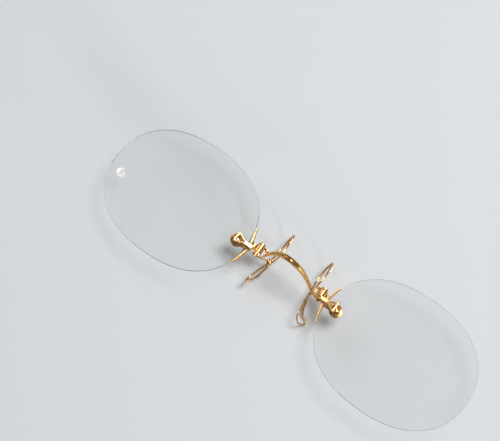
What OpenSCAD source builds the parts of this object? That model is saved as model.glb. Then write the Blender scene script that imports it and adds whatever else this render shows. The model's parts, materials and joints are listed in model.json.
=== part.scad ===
// Finger-piece pince-nez: rimless drilled lenses, arched spring bridge,
// sprung finger levers that carry wire nose guards.
// Lies face up on its nose guards: +X wearer's left, +Y brow side, +Z front.

/* [Lenses] */
// Width of each lens
lens_w = 40; // [36:0.5:44]
// Height of each lens
lens_h = 31; // [28:0.5:34]
// Fullness of the oval: 2 is an ellipse, more is squarer
squareness = 2.25; // [2:0.05:2.8]
// Gap between the two lenses at the nose
lens_gap = 24.2; // [22:0.2:28]
// Thickness of the glass
lens_t = 1.4; // [1:0.1:2]
// Radius of the spherical faces of the glass
face_r = 400; // [250:10:800]

/* [Chain hole] */
// Straight bore for the chain ring, in one lens only
chain_hole_d = 1.2; // [0.8:0.1:1.6]
// Ground mouth of that bore on both faces
chain_mouth_d = 2.3; // [1.8:0.1:3]
// Depth of that mouth
mouth_deep = 0.33; // [0.2:0.01:0.4]
// Distance from the outer end of the lens to the bore
chain_in = 3.7; // [2.8:0.1:6]
// How far the bore sits below the middle of the lens
chain_drop = 3.2; // [0:0.1:6]

/* [Lens straps] */
// Diameter of the round pad on each ear
pad_d = 3.1; // [2.6:0.1:4]
// Thickness of each ear
strap_t = 0.35; // [0.25:0.05:0.6]
// Distance from the lens edge to the strap screw
pad_in = 2.7; // [2.2:0.1:4]
// Width of the ear where it leaves the edge
neck_w = 1.4; // [1.2:0.1:2.6]
// Thickness of the web that stands against the lens edge
web_t = 0.55; // [0.4:0.05:0.8]

/* [Lens screws] */
// Shank diameter of the strap screw
screw_d = 1; // [0.7:0.05:1.3]
// Head diameter of the strap screw
screw_head_d = 1.8; // [1.5:0.1:2.4]
// Head height of the strap screw
screw_head_h = 0.4; // [0.3:0.05:0.6]
// Width of every screw slot
slot_w = 0.26; // [0.15:0.01:0.4]
// Depth of every screw slot
slot_depth = 0.2; // [0.1:0.05:0.28]
// Radial clearance of the shank in the ears
screw_fit = 0.03; // [0.02:0.01:0.08]
// Radial clearance of the shank in the glass
glass_fit = 0.1; // [0.05:0.01:0.2]

/* [Edge shoes] */
// Height of the spring shoe along the lens edge
shoe_span = 9.8; // [7:0.2:12]
// Depth of the shoe leaves from front to back
shoe_w = 2.3; // [1.9:0.1:3]
// Thickness of the leaves
leaf_t = 0.3; // [0.2:0.02:0.4]
// Radius of the curve of each leaf
leaf_r = 20; // [10:1:40]
// Length of the flat middle of the shoe
shoe_flat = 1.5; // [1.2:0.1:2.2]

/* [Pivots] */
// Distance from the lens edge to the pivot axis, towards the nose
pivot_in = 2.75; // [2.6:0.05:3.2]
// Distance of the pivot axis behind the middle of the glass
pivot_back = 1.5; // [1.3:0.1:2]
// How far the pin's collar starts below the middle of the lens
collar_drop = 0.5; // [0.4:0.05:0.7]
// Height of the collar
collar_h = 0.4; // [0.3:0.05:0.6]
// Diameter of the collar
collar_d = 1.3; // [1:0.05:1.6]
// Diameter of the pivot pin
pin_d = 0.76; // [0.6:0.02:0.84]
// Radial clearance of the pin in the lever and arm eyes
pivot_fit = 0.04; // [0.02:0.01:0.08]
// Gap between moving and standing faces along the axis
side_play = 0.06; // [0.04:0.01:0.1]
// Diameter of the round eyes on the post
eye_d = 2.1; // [1.8:0.1:2.3]

/* [Spring barrels] */
// Outer diameter of the spring barrel
barrel_d = 2.05; // [1.9:0.05:2.3]
// Height of the spring barrel
barrel_h = 2.05; // [1.9:0.05:2.6]
// Wall of the spring barrel
barrel_wall = 0.2; // [0.16:0.02:0.24]
// Roof of the spring barrel
barrel_roof = 0.28; // [0.2:0.02:0.4]
// Wire diameter of the coil spring
spring_wire = 0.22; // [0.16:0.02:0.24]
// Rise of the coil spring in one turn
spring_pitch = 0.66; // [0.65:0.01:0.7]
// Diameter of the pivot screw head
cap_d = 1.7; // [1.4:0.1:2]
// Height of the pivot screw head
cap_h = 0.6; // [0.4:0.05:0.8]
// Shank diameter of the pivot screw
tap_d = 0.4; // [0.3:0.02:0.46]

/* [Finger levers] */
// How far the bar climbs to the front from the pivot to its elbow
elbow_rise = 2.4; // [2.2:0.1:2.8]
// How far the loop's inner corner lies outwards from the pivot
corner_out = 2.95; // [2.6:0.05:3.2]
// How far the loop's inner corner stands in front of the pivot
corner_rise = 3.5; // [3.2:0.1:4]
// Thickness of the lever eye
lever_eye_t = 0.38; // [0.3:0.02:0.5]
// Width of the lever bar
bar_w = 0.88; // [0.8:0.02:1]
// Thickness of the lever bar
bar_t = 0.5; // [0.35:0.05:0.6]
// Wire diameter of the finger loop
loop_wire = 0.54; // [0.4:0.02:0.6]
// Height of the outer side of the finger loop
loop_side = 2.3; // [2:0.1:3]
// Length of the finger loop from its corner to its outer side
loop_len = 2.4; // [2:0.1:3]

/* [Guard arms] */
// Thickness of the arm's eye
arm_t = 0.34; // [0.28:0.02:0.45]
// Wire diameter of the arm
arm_wire = 0.5; // [0.4:0.02:0.6]
// How far the arm reaches towards the nose
arm_in = 2.7; // [2.5:0.1:3]
// How far the arm reaches back from the pivot
arm_back = 3.3; // [3:0.1:3.8]
// How far the arm climbs towards the brow
arm_climb = 0.9; // [0.6:0.1:1.2]

/* [Nose guards] */
// Wire diameter of the guards
guard_wire = 0.46; // [0.36:0.02:0.56]
// Height of the upper loop above the waist
guard_up = 9; // [8:0.2:12]
// Length of the lower loop below the waist
guard_down = 7.8; // [6:0.2:9]
// Depth of the upper loop from front wire to back wire
guard_up_depth = 4.2; // [3:0.1:4.6]
// Depth of the lower loop from front wire to back wire
guard_down_depth = 5.9; // [4:0.1:6.2]
// How far the back wires stand behind the pivot
guard_back = 7.1; // [6.6:0.1:7.6]
// How far the lower loop flares outwards
guard_flare = 2.6; // [1.4:0.1:3.2]

/* [Bridge] */
// Width of the bridge wire at its middle
bridge_w = 1.4; // [1:0.02:1.8]
// Depth of the bridge wire at its middle
bridge_d = 0.95; // [0.7:0.05:1.3]
// Diameter of the bridge ends
bridge_end_d = 0.62; // [0.5:0.02:0.64]
// How far the arch stands in front of the glass
bridge_rise = 7.8; // [5:0.1:9]
// How far the arch stands above the middle of the lens
bridge_lift = 2.4; // [1:0.1:4]
// Distance of the bridge pin from the pivot, towards the nose
pin_in = 1.6; // [1.56:0.02:1.9]
// Distance of the bridge pin behind the pivot
pin_back = 1; // [0.8:0.05:1.2]
// Diameter of the lug that holds the bridge pin
lug_d = 1.1; // [1:0.02:1.2]
// Height of that lug
lug_h = 0.6; // [0.4:0.05:0.8]
// Radial clearance of the standing pins in their holes
joint_fit = 0.03; // [0.02:0.01:0.06]

/* [Hidden] */
$fn = 48;
gold = "#c9962e";
glass = "#dfe9ea";
tiny = 0.01;
lens_facets = 120;

// Heights: the back wires of the guards touch Z = 0
pivot_z = guard_back + guard_wire / 2;
glass_z = pivot_z + pivot_back;
// Places along X, for the right half
edge_x = lens_gap / 2;
lens_x = edge_x + lens_w / 2;
pivot_x = edge_x - pivot_in;
// The glass falls back a little towards its edge and leans there
pad_from_middle = lens_w / 2 - pad_in;
lean = asin(pad_from_middle / face_r);
pad_sag = face_r - sqrt(face_r * face_r - pad_from_middle * pad_from_middle);
// Stack along the pivot axis, from the collar to the screw
collar_y = -collar_drop;
arm_y = collar_y + collar_h + side_play;
lever_y = arm_y + arm_t;
barrel_y = lever_y + lever_eye_t + side_play;
cap_y = barrel_y + barrel_h;
eye_hole_r = pin_d / 2 + pivot_fit;
barrel_in_r = barrel_d / 2 - barrel_wall;
waist_y = arm_y + arm_t / 2 + arm_climb;
// Layers of the strap, measured from the middle of the glass; the ears clear its curve
ear_z = lens_t / 2 + tiny;
web_h = 2 * (ear_z + strap_t);
web_x = -pad_in - web_t;
shoe_x = web_x - leaf_t;
// Distance from the end of the glass to its edge at a height y
function edge_back(y) = lens_w / 2 * (1 - pow(1 - pow(abs(y) / (lens_h / 2), squareness), 1 / squareness));

// Right-hand places are mirrored for the left half
module half(side) {
    if (side == "left") mirror([1, 0, 0]) children();
    else children();
}

// Puts children on the strap screw's axis, leaning with the glass
module at_pad() {
    translate([edge_x + pad_in, 0, glass_z - pad_sag])
        rotate([0, -lean, 0]) children();
}

// Puts children on the pivot axis, with their own Z along the axis
module at_pivot(y) {
    translate([pivot_x, y, pivot_z]) rotate([-90, 0, 0]) children();
}

// Flat strip with round ends through a list of points
module strip(points, width) {
    for (p = points) translate(p) circle(d = width);
    for (i = [0:len(points) - 2]) {
        run = points[i + 1] - points[i];
        translate(points[i]) rotate(atan2(run[1], run[0]))
            translate([0, -width / 2]) square([norm(run), width]);
    }
}

// Round rod between two points, with ball ends a hair larger than the rod
module rod(a, b, d) {
    run = b - a;
    translate(a) sphere(d = d + 2 * tiny);
    translate(b) sphere(d = d + 2 * tiny);
    translate(a) rotate([0, acos(run[2] / norm(run)), atan2(run[1], run[0])])
        cylinder(d = d, h = norm(run));
}

// Sector of a flat ring through two points, bulging to the left of a to b
module arc_leaf(a, b, r, t) {
    run = b - a;
    middle = (a + b) / 2;
    normal = [run[1], -run[0]] / norm(run);
    centre = middle + normal * sqrt(r * r - norm(run) * norm(run) / 4);
    reach = 3 * r;
    ray_a = (a - centre) / r * reach;
    ray_b = (b - centre) / r * reach;
    intersection() {
        difference() {
            translate(centre) circle(r = r + t / 2, $fn = 180);
            translate(centre) circle(r = r - t / 2, $fn = 180);
        }
        polygon([centre, centre + ray_a, centre + ray_b]);
    }
}

module lens_outline() {
    polygon([for (i = [0:lens_facets - 1]) let (
        turn = (i + 0.5) * 360 / lens_facets, c = cos(turn), s = sin(turn))
        [lens_w / 2 * sign(c) * pow(abs(c), 2 / squareness), lens_h / 2 * sign(s) * pow(abs(s), 2 / squareness)]]);
}

// Round blank with both faces ground to the same sphere
module lens_blank() {
    blank_r = lens_w / 2 + 1;
    rotate_extrude($fn = 180) intersection() {
        translate([0, -lens_h]) square([blank_r, 2 * lens_h]);
        difference() {
            translate([0, lens_t / 2 - face_r]) circle(r = face_r, $fn = 1440);
            translate([0, -lens_t / 2 - face_r]) circle(r = face_r, $fn = 1440);
        }
    }
}

module lens(side) {
    bore_x = lens_x + lens_w / 2 - chain_in;
    color(glass, 0.35) half(side) difference() {
        translate([lens_x, 0, glass_z]) intersection() {
            lens_blank();
            translate([0, 0, -lens_h / 2]) linear_extrude(lens_h) lens_outline();
        }
        at_pad() cylinder(d = screw_d + 2 * glass_fit, h = 4 * lens_t, center = true);
        if (side == "left") translate([bore_x, -chain_drop, glass_z - chain_sag()]) chain_drill();
    }
}

// Straight drill, and a ball that grinds a shallow mouth into each face of the glass
module chain_drill() {
    ball_r = (chain_mouth_d * chain_mouth_d / 4 + mouth_deep * mouth_deep) / (2 * mouth_deep);
    cylinder(d = chain_hole_d, h = 4 * lens_t, center = true);
    for (s = [0, 1]) mirror([0, 0, s]) translate([0, 0, lens_t / 2 - mouth_deep + ball_r])
        sphere(r = ball_r);
}

function chain_sag() = let (dx = lens_w / 2 - chain_in, d = sqrt(dx * dx + chain_drop * chain_drop))
    face_r - sqrt(face_r * face_r - d * d);

// Two ears joined by a web that stands against the edge of the glass
module lens_strap(side) {
    color(gold) half(side) at_pad() difference() {
        union() {
            for (s = [0, 1]) mirror([0, 0, s]) translate([0, 0, ear_z]) linear_extrude(strap_t) {
                circle(d = pad_d);
                translate([web_x, -neck_w / 2]) square([-web_x, neck_w]);
            }
            translate([web_x, -neck_w / 2, -web_h / 2]) cube([web_t - side_play, neck_w, web_h]);
        }
        cylinder(d = screw_d + 2 * screw_fit, h = 2 * web_h, center = true);
    }
}

// Two thin leaves in a shallow V, bearing on the edge of the glass
module edge_shoe(side) {
    tip_y = shoe_span / 2;
    tip = [edge_back(tip_y) - pad_in - leaf_t / 2 - side_play, tip_y];
    root = [shoe_x + leaf_t / 2, shoe_flat / 2];
    color(gold) half(side) at_pad() translate([0, 0, -shoe_w / 2]) linear_extrude(shoe_w) {
        translate([shoe_x, -shoe_flat / 2]) square([leaf_t, shoe_flat]);
        for (s = [0, 1]) mirror([0, s]) {
            arc_leaf(root, tip, leaf_r, leaf_t);
            translate(root) circle(d = leaf_t);
            translate(tip) circle(d = leaf_t);
        }
    }
}

// Slotted head on the front, shank through ears and glass
module lens_screw(side) {
    tail = web_h / 2 + 0.1;
    color(gold) half(side) at_pad() difference() {
        union() {
            translate([0, 0, -tail]) cylinder(d = screw_d, h = tail + web_h / 2);
            translate([0, 0, web_h / 2]) intersection() {
                cylinder(d = screw_head_d, h = screw_head_h);
                dome_r = screw_head_d;
                translate([0, 0, screw_head_h - dome_r]) sphere(r = dome_r, $fn = 96);
            }
        }
        slot_z = web_h / 2 + screw_head_h - slot_depth;
        rotate(62) translate([-screw_head_d, -slot_w / 2, slot_z])
            cube([2 * screw_head_d, slot_w, screw_head_h]);
    }
}

// Block behind the shoe, the spring barrel that it carries, and the bridge lug
module pivot_mount(side) {
    round_r = 0.35;
    arm_w = 1.1;
    block_x = 0.5;
    block_low = -0.35;
    block_top = 1.9;
    block_half = shoe_w / 2 - 0.15;
    arm_low = barrel_y + 0.2;
    arm_top = block_top - 0.1;
    lug_y = cap_y - lug_h - 0.1;
    lug = [pivot_x - pin_in, -pivot_z + pin_back];
    arm_end = [edge_x + pad_in + shoe_x - arm_w / 2 - side_play, -glass_z + pad_sag + 0.2];
    color(gold) half(side) difference() {
        union() {
            at_pad() translate([shoe_x - block_x, block_low, -block_half])
                cube([block_x, block_top - block_low, 2 * block_half]);
            translate([0, arm_low, 0]) rotate([-90, 0, 0]) linear_extrude(arm_top - arm_low)
                strip([[pivot_x, -pivot_z], arm_end], arm_w);
            at_pivot(barrel_y) rotate_extrude() {
                square([barrel_d / 2, barrel_h - round_r]);
                square([barrel_d / 2 - round_r, barrel_h]);
                translate([barrel_d / 2 - round_r, barrel_h - round_r]) circle(r = round_r);
            }
            translate([0, lug_y, 0]) rotate([-90, 0, 0]) linear_extrude(lug_h) {
                strip([[pivot_x, -pivot_z], lug], 0.7);
                translate(lug) circle(d = lug_d);
            }
        }
        at_pivot(barrel_y - tiny) cylinder(r = barrel_in_r, h = barrel_h - barrel_roof + tiny);
        at_pivot(barrel_y) cylinder(d = pin_d + 2 * joint_fit, h = barrel_h + 1);
        translate([-pin_in, 0, -pin_back]) at_pivot(barrel_y)
            cylinder(d = bridge_end_d + 2 * joint_fit, h = barrel_h + 1);
    }
}

// Pin with a collar below the eyes and a tapped hole at its top
module pivot_pin(side) {
    tap_deep = 0.8;
    color(gold) half(side) difference() {
        union() {
            at_pivot(collar_y) cylinder(d = collar_d, h = collar_h);
            at_pivot(collar_y) cylinder(d = pin_d, h = cap_y - collar_y);
        }
        at_pivot(cap_y - tap_deep) cylinder(d = tap_d + 2 * joint_fit, h = tap_deep + 1);
    }
}

// One point on the centre line of the coil, t in turns
function coil_point(t) = let (r = (pin_d / 2 + barrel_in_r) / 2)
    [r * cos(360 * t), r * sin(360 * t), spring_pitch * t];

module coil_spring(side) {
    rings = 8;
    length = barrel_h - barrel_roof - spring_wire - 4 * side_play;
    turns = length / spring_pitch;
    steps = floor(turns * rings);
    points = [for (i = [0:steps]) coil_point(i * turns / steps)];
    start = barrel_y + spring_wire / 2 + side_play;
    least = min([for (i = [0:steps], j = [0:steps]) if (abs(i - j) >= rings - 1) norm(points[i] - points[j])]);
    echo(str("coil spring ", side, " least gap to itself ", least - spring_wire, " mm"));
    color(gold) half(side) at_pivot(start)
        tube([for (p = points) [p, [spring_wire, spring_wire]]], 6, [0, 0, 1], false);
}

module pivot_screw(side) {
    color(gold) half(side) difference() {
        union() {
            at_pivot(cap_y - 0.7) cylinder(d = tap_d, h = 0.75);
            at_pivot(cap_y) intersection() {
                cylinder(d = cap_d, h = cap_h);
                translate([0, 0, cap_h - cap_d * 0.8]) sphere(r = cap_d * 0.8, $fn = 96);
            }
        }
        at_pivot(cap_y + cap_h - slot_depth) rotate(25) translate([-cap_d, -slot_w / 2, 0])
            cube([2 * cap_d, slot_w, cap_h]);
    }
}

// Eye, bent bar and three-cornered finger loop
module finger_lever(side) {
    elbow = [0.085 * corner_out, elbow_rise];
    knee = [0.36 * corner_out, elbow_rise + 0.6 * (corner_rise - elbow_rise)];
    corner = [corner_out, corner_rise];
    eye_mid = lever_y + lever_eye_t / 2;
    bar_y = eye_mid - bar_w / 2 - 0.1;
    loop_y = bar_y + bar_w / 2;
    outer = [corner[0] + loop_len * cos(10), corner[1] + loop_len * sin(10)];
    low = [outer[0], loop_y - loop_side / 2, outer[1]];
    top = [outer[0], loop_y + loop_side / 2, outer[1]];
    tail = [corner[0], loop_y, corner[1]];
    color(gold) half(side) difference() {
        union() {
            at_pivot(lever_y) linear_extrude(lever_eye_t) {
                circle(d = eye_d);
                strip([[0, 0], [elbow[0], -elbow[1]]], bar_t);
            }
            at_pivot(bar_y) linear_extrude(bar_w)
                strip([for (p = [[0.14, 1.4], elbow, knee, corner]) [p[0], -p[1]]], bar_t);
            translate([pivot_x, 0, pivot_z]) {
                rod(tail + [0, 0.15, 0], top, loop_wire);
                rod(tail - [0, 0.15, 0], low, loop_wire);
                rod(top, low, loop_wire);
            }
        }
        at_pivot(lever_y - 1) cylinder(r = eye_hole_r, h = lever_eye_t + 2);
    }
}

// Eye on the pin and arm back to the clip that holds the guard's waist
module guard_arm(side) {
    clip_h = 1.3;
    clip_t = 0.4;
    clip_w = 1;
    root_y = arm_y + arm_t / 2;
    bend = [-0.5 * arm_in, root_y + 0.45 * arm_climb, -0.82 * arm_back];
    end = [-arm_in, waist_y, -arm_back];
    color(gold) half(side) difference() {
        union() {
            at_pivot(arm_y) linear_extrude(arm_t) {
                circle(d = eye_d);
                strip([[0, 0], [-0.5, 1.3]], arm_wire + 0.1);
            }
            translate([pivot_x, 0, pivot_z]) {
                rod([-0.5, root_y, -1.3], bend, arm_wire);
                rod(bend, end, arm_wire);
                translate(end + [-clip_t / 2, -clip_h / 2, -clip_w]) cube([clip_t, clip_h, clip_w]);
            }
        }
        at_pivot(arm_y - 1) cylinder(r = eye_hole_r, h = arm_t + 2);
    }
}

// Smooth closed or open line through a list of points
function knot(p, i, closed) = let (n = len(p)) closed ? p[(i + n) % n] : p[max(0, min(n - 1, i))];
function curve_at(p, i, t, closed) = let (
    a = knot(p, i - 1, closed), b = knot(p, i, closed),
    c = knot(p, i + 1, closed), d = knot(p, i + 2, closed))
    0.5 * (2 * b + (c - a) * t + (2 * a - 5 * b + 4 * c - d) * t * t + (3 * b - a - 3 * c + d) * t * t * t);
function smooth(p, steps, closed) = [for (i = [0:len(p) - (closed ? 1 : 2)], k = [0:steps - 1])
    curve_at(p, i, k / steps, closed), if (!closed) p[len(p) - 1]];

// Tube along rings of [centre, [size, size]], its first size square to up
module tube(rings, sides, up, closed) {
    n = len(rings);
    turn = [for (i = [0:n - 1]) let (
        a = rings[closed ? (i + n - 1) % n : max(0, i - 1)][0],
        b = rings[closed ? (i + 1) % n : min(n - 1, i + 1)][0]) (b - a) / norm(b - a)];
    points = [for (i = [0:n - 1]) let (
        v = up - (up * turn[i]) * turn[i],
        across = v / norm(v),
        out = cross(turn[i], across),
        size = rings[i][1])
        for (k = [0:sides - 1])
            rings[i][0] + out * size[0] / 2 * cos(360 * k / sides) + across * size[1] / 2 * sin(360 * k / sides)];
    last = closed ? n - 1 : n - 2;
    last_ring = (n - 1) * sides;
    skin = [for (i = [0:last], k = [0:sides - 1]) let (
        a = i * sides + k, b = i * sides + (k + 1) % sides,
        c = (i + 1) % n * sides + (k + 1) % sides, d = (i + 1) % n * sides + k)
        for (f = [[a, b, c], [a, c, d]]) f];
    caps = closed ? [] : [[for (k = [0:sides - 1]) sides - 1 - k], [for (k = [0:sides - 1]) last_ring + k]];
    polyhedron(points, concat(skin, caps), convexity = 6);
}

// Wire bent into a tall upper loop and a flared lower loop with a narrow waist
module nose_guard(side) {
    waist_x = -arm_in - 0.2 - guard_wire / 2;
    back = -guard_back;
    up_front = back + guard_up_depth;
    down_front = back + guard_down_depth;
    flare = waist_x + guard_flare;
    line = [
        [waist_x, waist_y, -arm_back - 0.25],
        [waist_x - 0.3, waist_y + 0.3 * guard_up, up_front],
        [waist_x - 0.45, waist_y + 0.6 * guard_up, up_front - 0.4],
        [waist_x - 0.4, waist_y + 0.87 * guard_up, up_front - 1.5],
        [waist_x - 0.3, waist_y + guard_up, back + 1.3],
        [waist_x - 0.2, waist_y + 0.87 * guard_up, back + 0.5],
        [waist_x - 0.25, waist_y + 0.6 * guard_up, back],
        [waist_x - 0.3, waist_y + 0.3 * guard_up, back + 0.5],
        [waist_x - 0.1, waist_y, -arm_back - 1.1],
        [waist_x + 0.1 * guard_flare, waist_y - 0.3 * guard_down, back + 0.36 * guard_down_depth],
        [waist_x + 0.4 * guard_flare, waist_y - 0.63 * guard_down, back + 0.25 * guard_down_depth],
        [flare + 0.15, waist_y - 0.86 * guard_down, back],
        [flare - 0.2, waist_y - 0.97 * guard_down, back + 0.25 * guard_down_depth],
        [waist_x + 0.7 * guard_flare, waist_y - guard_down, back + 0.7 * guard_down_depth],
        [waist_x + 0.52 * guard_flare, waist_y - 0.86 * guard_down, down_front],
        [waist_x + 0.35 * guard_flare, waist_y - 0.6 * guard_down, down_front - 0.25],
        [waist_x + 0.15 * guard_flare, waist_y - 0.3 * guard_down, down_front - 1.1]];
    points = smooth(line, 4, true);
    color(gold) half(side) translate([pivot_x, 0, pivot_z])
        tube([for (p = points) [p, [guard_wire, guard_wire]]], 8, [1, 0.1, 0], true);
}

// Half-round arched wire, thin at its ends, where it turns up into a pin
module bridge() {
    span = pivot_x - pin_in;
    foot_z = pivot_z - pin_back;
    pin_y = arm_y + arm_t + 0.5;
    thin = bridge_end_d - 0.1;
    side_points = [
        [0, bridge_lift, glass_z + bridge_rise],
        [0.26 * span, bridge_lift - 0.04, glass_z + 0.9 * bridge_rise],
        [0.52 * span, bridge_lift - 0.28, glass_z + 0.63 * bridge_rise],
        [0.65 * span, bridge_lift - 0.6, glass_z + 0.44 * bridge_rise],
        [0.78 * span, bridge_lift - 1.1, glass_z + 0.23 * bridge_rise],
        [0.9 * span, bridge_lift - 1.75, glass_z + 0.02 * bridge_rise],
        [0.95 * span, pin_y - 0.25, pivot_z + 0.6],
        [span, pin_y, foot_z]];
    whole = concat([for (i = [len(side_points) - 1:-1:1])
        [-side_points[i][0], side_points[i][1], side_points[i][2]]], side_points);
    points = smooth(whole, 4, false);
    color("#bf8a28") union() {
        tube([for (p = points) let (k = min(1, abs(p[0]) / span), e = sin(90 * k))
            [p, [bridge_d + (thin - bridge_d) * e, bridge_w + (thin - bridge_w) * e]]],
            12, [0, 1, 0], false);
        for (s = [0, 1]) mirror([s, 0, 0]) translate([span, 0, foot_z]) {
            translate([0, pin_y, 0]) sphere(d = bridge_end_d, $fn = 32);
            translate([0, pin_y, 0]) rotate([-90, 0, 0]) cylinder(d = bridge_end_d, h = cap_y - 0.05 - pin_y);
        }
    }
}

bridge();
lens("left");  // lens_left
lens("right");  // lens_right
lens_strap("left");  // lens_strap_left
lens_strap("right");  // lens_strap_right
edge_shoe("left");  // edge_shoe_left
edge_shoe("right");  // edge_shoe_right
lens_screw("left");  // lens_screw_left
lens_screw("right");  // lens_screw_right
pivot_mount("left");  // pivot_mount_left
pivot_mount("right");  // pivot_mount_right
pivot_pin("left");  // pivot_pin_left
pivot_pin("right");  // pivot_pin_right
coil_spring("left");  // coil_spring_left
coil_spring("right");  // coil_spring_right
pivot_screw("left");  // pivot_screw_left
pivot_screw("right");  // pivot_screw_right
finger_lever("left");  // finger_lever_left
finger_lever("right");  // finger_lever_right
guard_arm("left");  // guard_arm_left
guard_arm("right");  // guard_arm_right
nose_guard("left");  // nose_guard_left
nose_guard("right");  // nose_guard_right
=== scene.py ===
import bpy
import json
import math
from mathutils import Matrix, Vector


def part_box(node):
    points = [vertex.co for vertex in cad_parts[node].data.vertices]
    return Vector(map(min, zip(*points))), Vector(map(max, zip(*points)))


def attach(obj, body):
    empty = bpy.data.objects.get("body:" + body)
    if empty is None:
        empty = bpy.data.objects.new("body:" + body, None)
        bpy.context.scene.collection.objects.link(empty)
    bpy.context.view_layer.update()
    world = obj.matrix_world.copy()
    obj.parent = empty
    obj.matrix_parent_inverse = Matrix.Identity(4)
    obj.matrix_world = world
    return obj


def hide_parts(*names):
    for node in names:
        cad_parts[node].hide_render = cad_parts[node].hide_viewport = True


# Rimless pince-nez with sprung finger levers, lying face up on its nose guards.
# Each piece is modelled in millimetres and shrunk to metres when it is done.
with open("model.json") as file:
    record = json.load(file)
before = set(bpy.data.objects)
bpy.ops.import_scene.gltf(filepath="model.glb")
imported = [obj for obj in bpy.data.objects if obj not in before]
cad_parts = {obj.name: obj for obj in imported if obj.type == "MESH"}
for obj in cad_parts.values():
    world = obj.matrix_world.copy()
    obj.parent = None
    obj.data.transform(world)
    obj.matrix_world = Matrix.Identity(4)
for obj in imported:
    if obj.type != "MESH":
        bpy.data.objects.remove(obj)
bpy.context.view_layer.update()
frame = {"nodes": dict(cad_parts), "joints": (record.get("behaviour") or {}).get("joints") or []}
mm = 0.001
sides = ("left", "right")     # as seen from the front
jointPlace = {j["child"]: Vector(j["pos_m"]) / mm for j in frame["joints"]}
pivotX = jointPlace["lever_right"].x
pivotZ = jointPlace["lever_right"].z
print("frame loaded with", len(frame["nodes"]), "nodes")


def boxMm(node):
    low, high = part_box(node)
    return low / mm, high / mm


# Selecting and finishing
def pickOnly(obj):
    bpy.ops.object.select_all(action="DESELECT")
    obj.select_set(True)
    bpy.context.view_layer.objects.active = obj


def addModifier(obj, kind, **settings):
    pickOnly(obj)
    bpy.ops.object.modifier_add(type=kind)
    modifier = obj.modifiers[-1]
    for name, value in settings.items():
        setattr(modifier, name, value)
    bpy.ops.object.modifier_apply(modifier=modifier.name)


def mirrorToLeft(obj):
    # the left half is the right half seen in a mirror
    pickOnly(obj)
    obj.scale.x = -1
    bpy.ops.object.transform_apply(location=True, rotation=True, scale=True)
    bpy.ops.object.mode_set(mode="EDIT")
    bpy.ops.mesh.select_all(action="SELECT")
    bpy.ops.mesh.normals_make_consistent(inside=False)
    bpy.ops.object.mode_set(mode="OBJECT")


def finishPiece(obj, name, body, node, materials, sharpAngle):
    obj.name = name
    obj.data.name = name
    pickOnly(obj)
    obj.scale = (mm, mm, mm)
    bpy.ops.object.transform_apply(location=True, rotation=True, scale=True)
    bpy.ops.object.shade_smooth_by_angle(angle=math.radians(sharpAngle))
    obj.data.materials.clear()
    for material in materials:
        obj.data.materials.append(material)
    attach(obj, body)
    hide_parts(node)


# Small steps of the shader graphs
def feed(tree, socket, value):
    if isinstance(value, (int, float, tuple)):
        socket.default_value = value
    else:
        tree.links.new(value, socket)


def addNoise(tree, scale, detail, roughness=0.5, stretch=None):
    coords = tree.nodes.new("ShaderNodeTexCoord")
    place = coords.outputs["Object"]
    if stretch:
        mapping = tree.nodes.new("ShaderNodeMapping")
        mapping.inputs["Scale"].default_value = stretch
        tree.links.new(place, mapping.inputs["Vector"])
        place = mapping.outputs["Vector"]
    noise = tree.nodes.new("ShaderNodeTexNoise")
    noise.inputs["Scale"].default_value = scale
    noise.inputs["Detail"].default_value = detail
    noise.inputs["Roughness"].default_value = roughness
    tree.links.new(place, noise.inputs["Vector"])
    return noise.outputs["Fac"]


def addRange(tree, value, low, high, toLow=0.0, toHigh=1.0):
    node = tree.nodes.new("ShaderNodeMapRange")
    for label, given in (("Value", value), ("From Min", low), ("From Max", high),
                         ("To Min", toLow), ("To Max", toHigh)):
        feed(tree, node.inputs[label], given)
    return node.outputs["Result"]


def addMath(tree, operation, first, second):
    node = tree.nodes.new("ShaderNodeMath")
    node.operation = operation
    node.use_clamp = True
    feed(tree, node.inputs[0], first)
    feed(tree, node.inputs[1], second)
    return node.outputs[0]


def addMix(tree, share, first, second):
    node = tree.nodes.new("ShaderNodeMix")
    node.data_type = "RGBA"
    feed(tree, node.inputs[0], share)
    feed(tree, node.inputs[6], first)      # 6 and 7 are its two colours, 2 comes out
    feed(tree, node.inputs[7], second)
    return node.outputs[2]


def addBump(tree, shader, height, look):
    bump = tree.nodes.new("ShaderNodeBump")
    bump.inputs["Strength"].default_value = look["bumpStrength"]
    bump.inputs["Distance"].default_value = look["bumpDepth"] * mm
    tree.links.new(height, bump.inputs["Height"])
    tree.links.new(bump.outputs["Normal"], shader.inputs["Normal"])


colourOut = [("Color", "NodeSocketColor"), ("Roughness", "NodeSocketFloat")]
heightOut = [("Height", "NodeSocketFloat")]


def newGroup(name, inputs, outputs):
    group = bpy.data.node_groups.new(name, "ShaderNodeTree")
    for label, kind, value in inputs:
        socket = group.interface.new_socket(name=label, in_out="INPUT", socket_type=kind)
        socket.default_value = value
    for label, kind in outputs:
        group.interface.new_socket(name=label, in_out="OUTPUT", socket_type=kind)
    return group, group.nodes.new("NodeGroupInput"), group.nodes.new("NodeGroupOutput")


def placeGroup(tree, group, shader, values):
    # sets the group's named inputs and links its colour and roughness
    node = tree.nodes.new("ShaderNodeGroup")
    node.node_tree = group
    for label, value in values.items():
        node.inputs[label].default_value = value
    tree.links.new(node.outputs["Color"], shader.inputs["Base Color"])
    tree.links.new(node.outputs["Roughness"], shader.inputs["Roughness"])
    return node


def newMaterial(name):
    material = bpy.data.materials.new(name)
    material.use_nodes = True
    return material, material.node_tree.nodes["Principled BSDF"]


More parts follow.
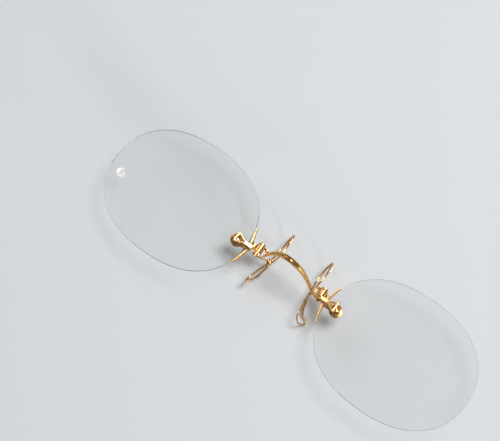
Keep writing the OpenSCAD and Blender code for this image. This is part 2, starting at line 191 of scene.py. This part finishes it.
# Gold: one wear group for all finishes, each with its own colours
goldWearLook = {
    "patchScale": 420.0,               # cloudy darkening of the old gold
    "patchDetail": 2.0,
    "patchRange": (0.40, 0.80),
    "speckScale": 2600.0,              # pits and dust
    "speckDetail": 2.0,
    "speckRange": (0.52, 0.75),
    "scratchScale": 900.0,             # hairline scratches, stretched along one way
    "scratchDetail": 3.0,
    "scratchStretch": (1.0, 9.0, 5.0),
    "hollowRange": (0.50, 0.40),       # inner corners stay dark
    "edgeRange": (0.53, 0.62),         # outer edges are rubbed bright
    "edgeRub": 0.55,
    "speckDulls": 0.22,                # what each adds to the roughness
    "tarnishDulls": 0.2,
    "scratchShare": 0.6,               # shares of the bump's height
    "speckShare": 0.4,
    "bumpStrength": 0.35,
    "bumpDepth": 0.004,
}


def makeGoldWear():
    look = goldWearLook
    group, given, result = newGroup("goldWear", [
        ("Gold", "NodeSocketColor", (0.78, 0.53, 0.17, 1)),
        ("Tarnish", "NodeSocketColor", (0.30, 0.12, 0.03, 1)),
        ("Worn", "NodeSocketColor", (0.95, 0.78, 0.42, 1)),
        ("Tarnish Amount", "NodeSocketFloat", 0.5),
        ("Polish", "NodeSocketFloat", 0.16)], colourOut + heightOut)
    patches = addNoise(group, look["patchScale"], look["patchDetail"])
    specks = addNoise(group, look["speckScale"], look["speckDetail"])
    scratches = addNoise(group, look["scratchScale"], look["scratchDetail"],
                         stretch=look["scratchStretch"])
    geometry = group.nodes.new("ShaderNodeNewGeometry")
    hollow = addRange(group, geometry.outputs["Pointiness"], *look["hollowRange"])
    edge = addRange(group, geometry.outputs["Pointiness"], *look["edgeRange"])
    cloud = addRange(group, patches, *look["patchRange"])

    dark = addMath(group, "MAXIMUM", cloud, hollow)
    dark = addMath(group, "MULTIPLY", dark, given.outputs["Tarnish Amount"])
    soiled = addMix(group, dark, given.outputs["Gold"], given.outputs["Tarnish"])
    rubbed = addMath(group, "MULTIPLY", edge, look["edgeRub"])
    colour = addMix(group, rubbed, soiled, given.outputs["Worn"])
    group.links.new(colour, result.inputs["Color"])

    pits = addRange(group, specks, *look["speckRange"])
    pitted = addMath(group, "MULTIPLY", pits, look["speckDulls"])
    rough = addMath(group, "ADD", given.outputs["Polish"], pitted)
    rough = addMath(group, "ADD", rough, addMath(group, "MULTIPLY", dark, look["tarnishDulls"]))
    group.links.new(rough, result.inputs["Roughness"])

    height = addMath(group, "ADD", addMath(group, "MULTIPLY", scratches, look["scratchShare"]),
                     addMath(group, "MULTIPLY", specks, look["speckShare"]))
    group.links.new(height, result.inputs["Height"])
    return group


goldWear = makeGoldWear()


def makeGold(name, gold, tarnish, worn, tarnishAmount, polish):
    material, shader = newMaterial(name)
    tree = material.node_tree
    shader.inputs["Metallic"].default_value = 1.0
    wear = placeGroup(tree, goldWear, shader, {
        "Gold": gold, "Tarnish": tarnish, "Worn": worn,
        "Tarnish Amount": tarnishAmount, "Polish": polish})
    addBump(tree, shader, wear.outputs["Height"], goldWearLook)
    return material


goldLooks = {
    "fittings": {"gold": (0.76, 0.46, 0.17, 1), "tarnish": (0.28, 0.10, 0.03, 1),
                 "worn": (0.98, 0.82, 0.48, 1), "tarnishAmount": 0.25, "polish": 0.13},
    "shoes": {"gold": (0.76, 0.46, 0.17, 1), "tarnish": (0.30, 0.11, 0.03, 1),
              "worn": (0.98, 0.82, 0.48, 1), "tarnishAmount": 0.25, "polish": 0.30},
    # the strap pads are the same gold painted darker and more tarnished, the darker tone painted
    # shade that sets the lever loops off
    "straps": {"gold": (0.66, 0.35, 0.13, 1), "tarnish": (0.26, 0.09, 0.03, 1),
               "worn": (0.94, 0.74, 0.40, 1), "tarnishAmount": 0.40, "polish": 0.20},
    # the levers are the same gold painted lighter, a painted highlight that makes the loops stand
    # out bright
    "levers": {"gold": (0.92, 0.66, 0.33, 1), "tarnish": (0.38, 0.15, 0.05, 1),
               "worn": (1.00, 0.90, 0.62, 1), "tarnishAmount": 0.18, "polish": 0.24},
    "bridge": {"gold": (0.72, 0.41, 0.13, 1), "tarnish": (0.28, 0.10, 0.02, 1),
               "worn": (0.98, 0.78, 0.40, 1), "tarnishAmount": 0.30, "polish": 0.14},
    "wires": {"gold": (0.70, 0.42, 0.17, 1), "tarnish": (0.28, 0.10, 0.03, 1),
              "worn": (0.98, 0.82, 0.50, 1), "tarnishAmount": 0.35, "polish": 0.14},
    "mounts": {"gold": (0.70, 0.38, 0.13, 1), "tarnish": (0.24, 0.08, 0.02, 1),
               "worn": (0.96, 0.76, 0.42, 1), "tarnishAmount": 0.30, "polish": 0.11},
    "screws": {"gold": (0.70, 0.42, 0.16, 1), "tarnish": (0.28, 0.10, 0.03, 1),
               "worn": (1.00, 0.86, 0.56, 1), "tarnishAmount": 0.20, "polish": 0.12},
}
goldFinish = {name: makeGold("gold_" + name, **look) for name, look in goldLooks.items()}


# Glass: polished faces that let lamp light through, a finely ground edge
glassLook = {
    "ior": 1.52,
    "dustScale": 2600.0,
    "dustDetail": 1.0,
    "dustRange": (0.76, 0.82),
    "dustTint": (0.45, 0.44, 0.42, 1),
    "smearScale": 60.0,                   # thin grease on the faces
    "smearDetail": 5.0,
    "smearGrain": 0.65,
    "smearRange": (0.50, 0.80, 0.0, 0.10),
    "cementReach": (3.6, 1.6),            # old cement round each strap, from none to full, mm
    "cementScale": 700.0,
    "cementDetail": 4.0,
    "cementRange": (0.30, 0.70, 0.35, 1.0),
    "hazeRough": 0.30,
    "hazeTint": (0.86, 0.87, 0.86, 1),
    "grainScale": 2400.0,                 # the ground surfaces
    "grainDetail": 3.0,
    "grainRange": (0.3, 0.7),
    "grainRough": 0.1,
    "grainPaler": 1.2,
    "bumpStrength": 0.3,
    "bumpDepth": 0.01,
}
# clear is the share of light let through, passing is how clear it is to lamps
glassFinishes = {
    "polished": {"tint": (0.99, 0.995, 0.99, 1), "rough": 0.004, "clear": 1.0, "passing": 0.985},
    # the ground edge's dark tint is partly the grey of ground glass and partly painted shade, so
    # the rim reads as a dark line on the pale floor
    "groundEdgeGreyAndShade": {"tint": (0.34, 0.34, 0.37, 1), "rough": 0.60, "clear": 0.25, "passing": 0.48},
    "groundMouth": {"tint": (0.88, 0.89, 0.86, 1), "rough": 0.50, "clear": 0.25, "passing": 0.80},
}


def makeLensHaze():
    # dust and grease on the faces, and old cement round the strap
    look = glassLook
    group, given, result = newGroup("lensHaze", [
        ("Tint", "NodeSocketColor", (1, 1, 1, 1)),
        ("Rough", "NodeSocketFloat", 0.0),
        ("Strap Place", "NodeSocketVector", (0, 0, 0))], colourOut)
    specks = addNoise(group, look["dustScale"], look["dustDetail"])
    dust = addRange(group, specks, *look["dustRange"])
    grease = addNoise(group, look["smearScale"], look["smearDetail"], look["smearGrain"])
    smear = addRange(group, grease, *look["smearRange"])
    coords = group.nodes.new("ShaderNodeTexCoord")
    away = group.nodes.new("ShaderNodeVectorMath")
    away.operation = "DISTANCE"
    group.links.new(coords.outputs["Object"], away.inputs[0])
    group.links.new(given.outputs["Strap Place"], away.inputs[1])
    none, full = look["cementReach"]
    ring = addRange(group, away.outputs["Value"], none * mm, full * mm)
    patches = addNoise(group, look["cementScale"], look["cementDetail"])
    cloud = addRange(group, patches, *look["cementRange"])
    haze = addMath(group, "ADD", smear, addMath(group, "MULTIPLY", ring, cloud))
    rough = addRange(group, haze, 0.0, 1.0, given.outputs["Rough"], look["hazeRough"])
    hazy = addMix(group, haze, given.outputs["Tint"], look["hazeTint"])
    group.links.new(addMix(group, dust, hazy, look["dustTint"]), result.inputs["Color"])
    group.links.new(rough, result.inputs["Roughness"])
    return group


def makeGroundGrain():
    # the fine grain that the grinding stone leaves
    look = glassLook
    group, given, result = newGroup("groundGrain", [
        ("Tint", "NodeSocketColor", (0.5, 0.5, 0.5, 1)),
        ("Paler", "NodeSocketColor", (0.6, 0.6, 0.6, 1)),
        ("Smoothest", "NodeSocketFloat", 0.4),
        ("Roughest", "NodeSocketFloat", 0.6)], colourOut + heightOut)
    grain = addNoise(group, look["grainScale"], look["grainDetail"])
    colour = addMix(group, grain, given.outputs["Tint"], given.outputs["Paler"])
    rough = addRange(group, grain, *look["grainRange"],
                     given.outputs["Smoothest"], given.outputs["Roughest"])
    group.links.new(colour, result.inputs["Color"])
    group.links.new(rough, result.inputs["Roughness"])
    group.links.new(grain, result.inputs["Height"])
    return group


lensHaze = makeLensHaze()
groundGrain = makeGroundGrain()


def makeGlass(name, finish, strapPlace=None):
    look = glassFinishes[finish]
    tint, rough = look["tint"], look["rough"]
    material, shader = newMaterial(name)
    tree = material.node_tree
    shader.inputs["IOR"].default_value = glassLook["ior"]
    shader.inputs["Transmission Weight"].default_value = look["clear"]
    if strapPlace:
        placeGroup(tree, lensHaze, shader, {
            "Tint": tint, "Rough": rough, "Strap Place": strapPlace})
    else:
        paler = tuple(min(1.0, glassLook["grainPaler"] * c) for c in tint[:3]) + (1,)
        spread = glassLook["grainRough"]
        grain = placeGroup(tree, groundGrain, shader, {
            "Tint": tint, "Paler": paler, "Smoothest": rough - spread, "Roughest": rough + spread})
        addBump(tree, shader, grain.outputs["Height"], glassLook)
    # lamp light goes through: clear glass throws next to no shadow, its ground edge a faint one
    path = tree.nodes.new("ShaderNodeLightPath")
    through = tree.nodes.new("ShaderNodeBsdfTransparent")
    passing = look["passing"]
    through.inputs["Color"].default_value = (passing, passing, passing, 1)
    chooser = tree.nodes.new("ShaderNodeMixShader")
    lampRay = addMath(tree, "MAXIMUM",
                      path.outputs["Is Shadow Ray"], path.outputs["Is Diffuse Ray"])
    tree.links.new(lampRay, chooser.inputs[0])
    tree.links.new(shader.outputs["BSDF"], chooser.inputs[1])
    tree.links.new(through.outputs["BSDF"], chooser.inputs[2])
    tree.links.new(chooser.outputs["Shader"], tree.nodes["Material Output"].inputs["Surface"])
    return material


# Camera: the photograph's viewpoint
cameraLook = {
    "place": (0.088991, -0.05503, 0.39841),
    "right": (0.78615, 0.60717, -0.1154),
    "up": (-0.56289, 0.78051, 0.27196),
    "focal": 122.4,
    "sensor": 36.0,
    "shift": (-0.0006, 0.0003),
    "sees": (0.01, 20),
}


def makeCamera():
    look = cameraLook
    right = Vector(look["right"]).normalized()
    up = Vector(look["up"]).normalized()
    back = right.cross(up)
    turn = Matrix((right, up, back)).transposed().to_4x4()
    bpy.ops.object.select_all(action="DESELECT")
    bpy.ops.object.camera_add()
    camera = bpy.context.object
    camera.name = "photoCamera"
    camera.matrix_world = Matrix.Translation(Vector(look["place"])) @ turn
    camera.data.sensor_width = look["sensor"]
    camera.data.lens = look["focal"]
    camera.data.shift_x, camera.data.shift_y = look["shift"]
    camera.data.clip_start, camera.data.clip_end = look["sees"]
    bpy.context.scene.camera = camera


makeCamera()
print("camera set")


# Lenses
lensShape = {
    "squareness": 2.25,     # 2 is an ellipse
    "thickness": 1.4,
    "faceRadius": 400.0,
    "segments": 240,
    "rings": 16,
    "edgeBevel": 0.24,
    "bevelSteps": 2,
    "bevelFrom": 50,        # only edges turning more than this, degrees
    "screwBore": 1.2,
    "screwSides": 48,
    "chainBore": 1.2,
    "chainSides": 64,
    "chainMouth": 2.3,
    "mouthDepth": 0.33,
    "mouthSides": 96,
    "mouthEdge": 0.02,      # how far past its mouth the glass counts as ground
    "chainIn": 3.7,         # from the outer end of the lens
    "chainDrop": 3.2,       # below its middle
    "cutLength": 4,
    "faceFlat": 0.9,        # faces that lean more than this are ground
    "sharpAngle": 15,
}


def sagAt(distance):
    radius = lensShape["faceRadius"]
    return radius - math.sqrt(radius * radius - distance * distance)


def cutAway(obj, cutter):
    addModifier(obj, "BOOLEAN", operation="DIFFERENCE", object=cutter, solver="EXACT")
    bpy.data.objects.remove(cutter, do_unlink=True)


def makeBlank(centre, half, faceZ):
    # an oval sheet, drawn in ring by ring and bent to the curve of the glass
    shape = lensShape
    bpy.ops.object.select_all(action="DESELECT")
    bpy.ops.mesh.primitive_circle_add(vertices=shape["segments"], radius=1, fill_type="NOTHING")
    lens = bpy.context.object
    power = 2 / shape["squareness"]
    for v in lens.data.vertices:
        angle = math.atan2(v.co.y, v.co.x)
        across, along = math.cos(angle), math.sin(angle)
        v.co.x = half.x * math.copysign(abs(across) ** power, across)
        v.co.y = half.y * math.copysign(abs(along) ** power, along)
    bpy.ops.object.mode_set(mode="EDIT")
    bpy.ops.mesh.select_all(action="SELECT")
    for ring in range(shape["rings"], 1, -1):
        shrink = (ring - 1) / ring
        bpy.ops.mesh.extrude_edges_move()
        bpy.ops.transform.resize(value=(shrink, shrink, 1), center_override=(0, 0, 0))
    bpy.ops.mesh.extrude_edges_move()
    bpy.ops.mesh.merge(type="CENTER")
    bpy.ops.mesh.select_all(action="SELECT")
    bpy.ops.mesh.normals_make_consistent(inside=False)
    bpy.ops.object.mode_set(mode="OBJECT")
    for v in lens.data.vertices:
        v.co.z = faceZ - sagAt(math.hypot(v.co.x, v.co.y))
        v.co.x += centre.x
    addModifier(lens, "SOLIDIFY", thickness=shape["thickness"], offset=0)
    addModifier(lens, "BEVEL", width=shape["edgeBevel"], segments=shape["bevelSteps"],
                limit_method="ANGLE", angle_limit=math.radians(shape["bevelFrom"]))
    return lens


def drill(lens, place, width, sideCount):
    bpy.ops.mesh.primitive_cylinder_add(vertices=sideCount, radius=width / 2,
                                        depth=lensShape["cutLength"], location=place)
    cutAway(lens, bpy.context.object)


def grindMouths(lens, bore):
    # a ball cutter opens both ends of the chain's hole
    shape = lensShape
    mouth, deep = shape["chainMouth"] / 2, shape["mouthDepth"]
    ball = (mouth * mouth + deep * deep) / (2 * deep)
    count = shape["mouthSides"]
    for way in (-1, 1):
        up = way * (shape["thickness"] / 2 - deep + ball)
        bpy.ops.mesh.primitive_uv_sphere_add(segments=count, ring_count=count, radius=ball,
                                             location=bore + Vector((0, 0, up)))
        cutAway(lens, bpy.context.object)


def makeLens(side):
    shape = lensShape
    low, high = boxMm("lens_" + side)
    centre = (low + high) / 2
    half = (high - low) / 2
    faceZ = high.z - shape["thickness"] / 2
    lens = makeBlank(centre, half, faceZ)
    screwLow, screwHigh = boxMm("lens_screw_" + side)
    screw = (screwLow + screwHigh) / 2
    drill(lens, (screw.x, screw.y, faceZ - sagAt(abs(screw.x - centre.x))),
          shape["screwBore"], shape["screwSides"])
    bore = None
    if side == "left":
        boreX = low.x + shape["chainIn"]
        sag = sagAt(math.hypot(boreX - centre.x, shape["chainDrop"]))
        bore = Vector((boreX, -shape["chainDrop"], faceZ - sag))
        drill(lens, bore, shape["chainBore"], shape["chainSides"])
        grindMouths(lens, bore)
    # the rim, the bores and the mouths are ground, the rest is polished
    reach = shape["chainMouth"] / 2 + shape["mouthEdge"]
    finishes = []
    for face in lens.data.polygons:
        corners = [lens.data.vertices[i].co for i in face.vertices]
        if bore and all((corner - bore).xy.length < reach for corner in corners):
            finishes.append(2)
        else:
            finishes.append(1 if abs(face.normal.z) < shape["faceFlat"] else 0)
    used = [makeGlass("glass_" + side, "polished", screw * mm),
            makeGlass("ground_edge_" + side, "groundEdgeGreyAndShade")]
    if bore:
        used.append(makeGlass("ground_mouth_" + side, "groundMouth"))
    finishPiece(lens, "lens_glass_" + side, "frame", "lens_" + side,
                used, shape["sharpAngle"])
    for face, index in zip(lens.data.polygons, finishes):
        face.material_index = index


for side in sides:
    makeLens(side)
print("lenses ground")


# Wires are bent from curves through their knots
wireShape = {
    "steps": 8,              # between two knots
    "roundness": 6,
    "mergeWithin": 0.0005,
    "sharpAngle": 60,
}


def bendWire(points, thickness=None, closed=False, widths=None, profile=None, turn=0.0):
    bpy.ops.object.select_all(action="DESELECT")
    bpy.ops.curve.primitive_bezier_curve_add()
    wire = bpy.context.object
    curve = wire.data
    bpy.ops.object.mode_set(mode="EDIT")
    bpy.ops.curve.select_all(action="SELECT")
    bpy.ops.curve.subdivide(number_cuts=len(points) - 2)
    if closed:
        bpy.ops.curve.cyclic_toggle()
    bpy.ops.object.mode_set(mode="OBJECT")
    for i, (knot, place) in enumerate(zip(curve.splines[0].bezier_points, points)):
        knot.co = place
        knot.handle_left_type = knot.handle_right_type = "AUTO"
        knot.radius = widths[i] if widths else 1.0
        knot.tilt = turn
    curve.resolution_u = wireShape["steps"]
    curve.twist_mode = "MINIMUM"
    if profile:
        curve.bevel_mode = "OBJECT"
        curve.bevel_object = profile
    else:
        curve.bevel_depth = thickness / 2
        curve.bevel_resolution = wireShape["roundness"]
    curve.use_fill_caps = not closed
    pickOnly(wire)
    bpy.ops.object.convert(target="MESH")
    wire = bpy.context.object
    bpy.ops.object.mode_set(mode="EDIT")
    bpy.ops.mesh.select_all(action="SELECT")
    bpy.ops.mesh.remove_doubles(threshold=wireShape["mergeWithin"])
    bpy.ops.mesh.normals_make_consistent(inside=False)
    bpy.ops.object.mode_set(mode="OBJECT")
    return wire


# Nose guards: one closed bow of wire each, measured from the pivot
guardShape = {
    "wire": 0.46,
    "waistIn": 3.13,      # towards the nose
    "waistY": 1.03,
    "armBack": 3.3,
    "up": 9.0,            # reach of the tall upper bow
    "down": 7.8,          # reach of the flared lower bow
    "upDepth": 4.2,
    "downDepth": 5.9,
    "back": 7.1,
    "flare": 2.6,
}


def guardLine():
    # knots at shares of the reach, with the small bends of the wire in millimetres
    g = guardShape
    x, y, back = -g["waistIn"], g["waistY"], -g["back"]
    upFront, downFront = back + g["upDepth"], back + g["downDepth"]
    up, down, flare = g["up"], g["down"], g["flare"]
    return [
        (x, y, -g["armBack"] - 0.25),                                       # waist, front wire
        (x - 0.3, y + 0.3 * up, upFront),                                   # up the front
        (x - 0.45, y + 0.6 * up, upFront - 0.4),
        (x - 0.4, y + 0.87 * up, upFront - 1.5),
        (x - 0.3, y + up, back + 1.3),                                      # top
        (x - 0.2, y + 0.87 * up, back + 0.5),
        (x - 0.25, y + 0.6 * up, back),                                     # down the back
        (x - 0.3, y + 0.3 * up, back + 0.5),
        (x - 0.1, y, -g["armBack"] - 1.1),                                  # waist, back wire
        (x + 0.1 * flare, y - 0.3 * down, back + 0.36 * g["downDepth"]),    # down the back
        (x + 0.4 * flare, y - 0.63 * down, back + 0.25 * g["downDepth"]),
        (x + flare + 0.15, y - 0.86 * down, back),                          # foot it lies on
        (x + flare - 0.2, y - 0.97 * down, back + 0.25 * g["downDepth"]),
        (x + 0.7 * flare, y - down, back + 0.7 * g["downDepth"]),           # bottom
        (x + 0.52 * flare, y - 0.86 * down, downFront),
        (x + 0.35 * flare, y - 0.6 * down, downFront - 0.25),               # up the front
        (x + 0.15 * flare, y - 0.3 * down, downFront - 1.1)]


def makeGuard(side):
    points = [Vector(p) + Vector((pivotX, 0, pivotZ)) for p in guardLine()]
    guard = bendWire(points, guardShape["wire"], closed=True)
    if side == "left":
        mirrorToLeft(guard)
    finishPiece(guard, "guard_wire_" + side, "lever_" + side, "nose_guard_" + side,
                [goldFinish["wires"]], wireShape["sharpAngle"])


for side in sides:
    makeGuard(side)
print("nose guards bent")


# Bridge: a half-round wire with a soft ridge, thin at both ends
bridgeShape = {
    "width": 1.4,
    "depth": 0.95,
    "endShare": 0.42,       # size of the ends against the middle
    "rise": 7.8,
    "lift": 2.4,
    "pinIn": 1.6,
    "pinBack": 1.0,
    "pinY": 0.8,
    "pivotBack": 1.5,
    "profileSteps": 3,
    "profileTurn": 90,      # lays the width along Y
}


def makeBridgeProfile():
    # a rounded back and two flatter bands that meet in a soft ridge
    b = bridgeShape
    wide, deep = b["width"] / 2, b["depth"] / 2
    outline = [
        (0, deep),                         # ridge
        (0.5 * wide, 0.62 * deep),
        (wide, -0.15 * deep),              # edge
        (0.55 * wide, -0.85 * deep),
        (0, -deep),                        # middle of the back
        (-0.55 * wide, -0.85 * deep),
        (-wide, -0.15 * deep),
        (-0.5 * wide, 0.62 * deep)]
    bpy.ops.object.select_all(action="DESELECT")
    bpy.ops.curve.primitive_bezier_circle_add(radius=0.5)
    profile = bpy.context.object
    bpy.ops.object.mode_set(mode="EDIT")
    bpy.ops.curve.select_all(action="SELECT")
    bpy.ops.curve.subdivide(number_cuts=1)
    bpy.ops.object.mode_set(mode="OBJECT")
    profile.data.resolution_u = b["profileSteps"]
    for knot, (x, y) in zip(profile.data.splines[0].bezier_points, outline):
        knot.co = (x, y, 0)
        knot.handle_left_type = knot.handle_right_type = "AUTO"
    return profile


def bridgeLine():
    # place and width of each knot, from the middle out to the right pin
    b = bridgeShape
    span = pivotX - b["pinIn"]
    footZ = pivotZ - b["pinBack"]
    glassZ = pivotZ + b["pivotBack"]
    capY = boxMm("pivot_mount_right")[1].y
    lift, rise, pinY, thin = b["lift"], b["rise"], b["pinY"], b["endShare"]
    half = [
        (0, lift, glassZ + rise, 1.0),                                  # crown
        (0.26 * span, lift - 0.04, glassZ + 0.9 * rise, 0.97),
        (0.52 * span, lift - 0.28, glassZ + 0.63 * rise, 0.88),
        (0.65 * span, lift - 0.6, glassZ + 0.44 * rise, 0.78),
        (0.78 * span, lift - 1.1, glassZ + 0.23 * rise, 0.66),
        (0.9 * span, lift - 1.75, glassZ + 0.02 * rise, 0.52),
        (0.95 * span, pinY - 0.25, pivotZ + 0.6, 0.45),                 # bend into the lug
        (0.995 * span, pinY + 0.05, footZ + 0.12, thin),
        (span, pinY + 0.5, footZ, thin),                                # pin
        (span, capY - 0.05, footZ, thin)]
    return [(-x, y, z, w) for x, y, z, w in reversed(half[1:])] + half


def makeBridge():
    line = bridgeLine()
    profile = makeBridgeProfile()
    bridge = bendWire([Vector(p[:3]) for p in line], widths=[p[3] for p in line], profile=profile,
                      turn=math.radians(bridgeShape["profileTurn"]))
    bpy.data.objects.remove(profile, do_unlink=True)
    finishPiece(bridge, "bridge_wire", "frame", "bridge",
                [goldFinish["bridge"]], wireShape["sharpAngle"])


makeBridge()
print("bridge bent")


# Small fittings: a copy of the solid with its corners rounded
fittingShape = {
    "mergeWithin": 0.0008,
    "flatWithin": 1,         # faces that lean less than this become one, degrees
    "bevelFrom": 35,
    "bevelSteps": 2,
    "roundedSharp": 50,
    "solderedSharp": 60,
    "solderSmooth": 0.5,
}
# width is how far the corners are filed
rounded = {
    "lens_strap": {"finish": "straps", "width": 0.06},
    "edge_shoe": {"finish": "shoes", "width": 0.06},
    "lens_screw": {"finish": "screws", "width": 0.04},
    "pivot_pin": {"finish": "fittings", "width": 0.05},
    "pivot_screw": {"finish": "screws", "width": 0.05},
}
# swell makes up for what the rounds of smoothing take away
soldered = {
    "pivot_mount": {"onLever": False, "finish": "mounts",
                    "voxel": 0.04, "swell": 0.005, "rounds": 6},
    "finger_lever": {"onLever": True, "finish": "levers",
                     "voxel": 0.035, "swell": 0.03, "rounds": 30},
    "guard_arm": {"onLever": True, "finish": "fittings",
                  "voxel": 0.035, "swell": 0.01, "rounds": 10},
}


def copyNode(node):
    source = frame["nodes"][node]
    piece = bpy.data.objects.new(node + "_piece", source.data.copy())
    bpy.context.scene.collection.objects.link(piece)
    pickOnly(piece)
    piece.scale = (1 / mm, 1 / mm, 1 / mm)
    bpy.ops.object.transform_apply(location=True, rotation=True, scale=True)
    bpy.ops.object.mode_set(mode="EDIT")
    bpy.ops.mesh.select_all(action="SELECT")
    bpy.ops.mesh.remove_doubles(threshold=fittingShape["mergeWithin"])
    bpy.ops.object.mode_set(mode="OBJECT")
    return piece


def roundCorners(node, finish, width):
    # flat sheet and turned parts: sharp corners broken by a file
    piece = copyNode(node)
    bpy.ops.object.mode_set(mode="EDIT")
    bpy.ops.mesh.select_all(action="SELECT")
    bpy.ops.mesh.dissolve_limited(angle_limit=math.radians(fittingShape["flatWithin"]))
    bpy.ops.object.mode_set(mode="OBJECT")
    addModifier(piece, "BEVEL", width=width, segments=fittingShape["bevelSteps"],
                limit_method="ANGLE", angle_limit=math.radians(fittingShape["bevelFrom"]))
    addModifier(piece, "WEIGHTED_NORMAL", keep_sharp=True)
    finishPiece(piece, node + "_piece", "frame", node,
                [goldFinish[finish]], fittingShape["roundedSharp"])


def flowSolder(node, body, finish, voxel, swell, rounds):
    # soldered parts: solder fills the inner corners
    piece = copyNode(node)
    addModifier(piece, "REMESH", mode="VOXEL", voxel_size=voxel, adaptivity=0.0)
    addModifier(piece, "DISPLACE", strength=swell, mid_level=0.0)
    addModifier(piece, "SMOOTH", factor=fittingShape["solderSmooth"], iterations=rounds)
    finishPiece(piece, node + "_piece", body, node,
                [goldFinish[finish]], fittingShape["solderedSharp"])


for side in sides:
    for part, look in rounded.items():
        roundCorners(part + "_" + side, look["finish"], look["width"])
    for part, look in soldered.items():
        body = "lever_" + side if look["onLever"] else "frame"
        flowSolder(part + "_" + side, body, look["finish"],
                   look["voxel"], look["swell"], look["rounds"])
    # the coil inside the barrel keeps its solid
    spring = frame["nodes"]["coil_spring_" + side]
    spring.data.materials.clear()
    spring.data.materials.append(goldFinish["wires"])
print("fittings rounded")


# Floor, lamps and world
floorLook = {
    "size": 3,
    "colour": (0.65, 0.68, 0.71, 1),
    "rough": 0.95,
    "shine": 0.1,
}


def makeFloor():
    bpy.ops.object.select_all(action="DESELECT")
    bpy.ops.mesh.primitive_plane_add(size=floorLook["size"])
    floor = bpy.context.object
    floor.name = "floor"
    material, shader = newMaterial("pale_floor")
    shader.inputs["Base Color"].default_value = floorLook["colour"]
    shader.inputs["Roughness"].default_value = floorLook["rough"]
    shader.inputs["Specular IOR Level"].default_value = floorLook["shine"]
    floor.data.materials.append(material)


# way points from the glasses to the lamp, away and size are in metres
# the low lamp puts the glint on the bridge
lampLook = {
    "key": {"way": (0.294, 0.306, 1.016), "away": 0.9, "size": 0.34, "watts": 6.0},
    "fill": {"way": (-0.9, 0.4, 0.9), "away": 1.2, "size": 0.8, "watts": 3.2},
    "low": {"way": (0.953, -0.246, 0.15), "away": 1.4, "size": 0.14, "watts": 12.0},
}


def makeLamp(name, way, away, size, watts):
    place = Vector(way).normalized() * away
    bpy.ops.object.select_all(action="DESELECT")
    bpy.ops.object.light_add(type="AREA", location=place)
    lamp = bpy.context.object
    lamp.name = name
    lamp.rotation_euler = place.to_track_quat("Z", "Y").to_euler()
    lamp.data.shape = "DISK"
    lamp.data.size = size
    lamp.data.energy = watts


worldLook = {
    "horizon": (0.26, 0.25, 0.24, 1),
    "overhead": (0.15, 0.135, 0.12, 1),
    "fade": (0.0, 0.9),
}


def makeWorld():
    world = bpy.data.worlds.new("studio")
    bpy.context.scene.world = world
    world.use_nodes = True
    tree = world.node_tree
    coords = tree.nodes.new("ShaderNodeTexCoord")
    split = tree.nodes.new("ShaderNodeSeparateXYZ")
    tree.links.new(coords.outputs["Generated"], split.inputs[0])
    height = addRange(tree, split.outputs["Z"], *worldLook["fade"])
    shade = addMix(tree, height, worldLook["horizon"], worldLook["overhead"])
    tree.links.new(shade, tree.nodes["Background"].inputs["Color"])


makeFloor()
for name, look in lampLook.items():
    makeLamp(name, **look)
makeWorld()
bpy.context.scene.view_settings.view_transform = "Standard"
print("studio set")
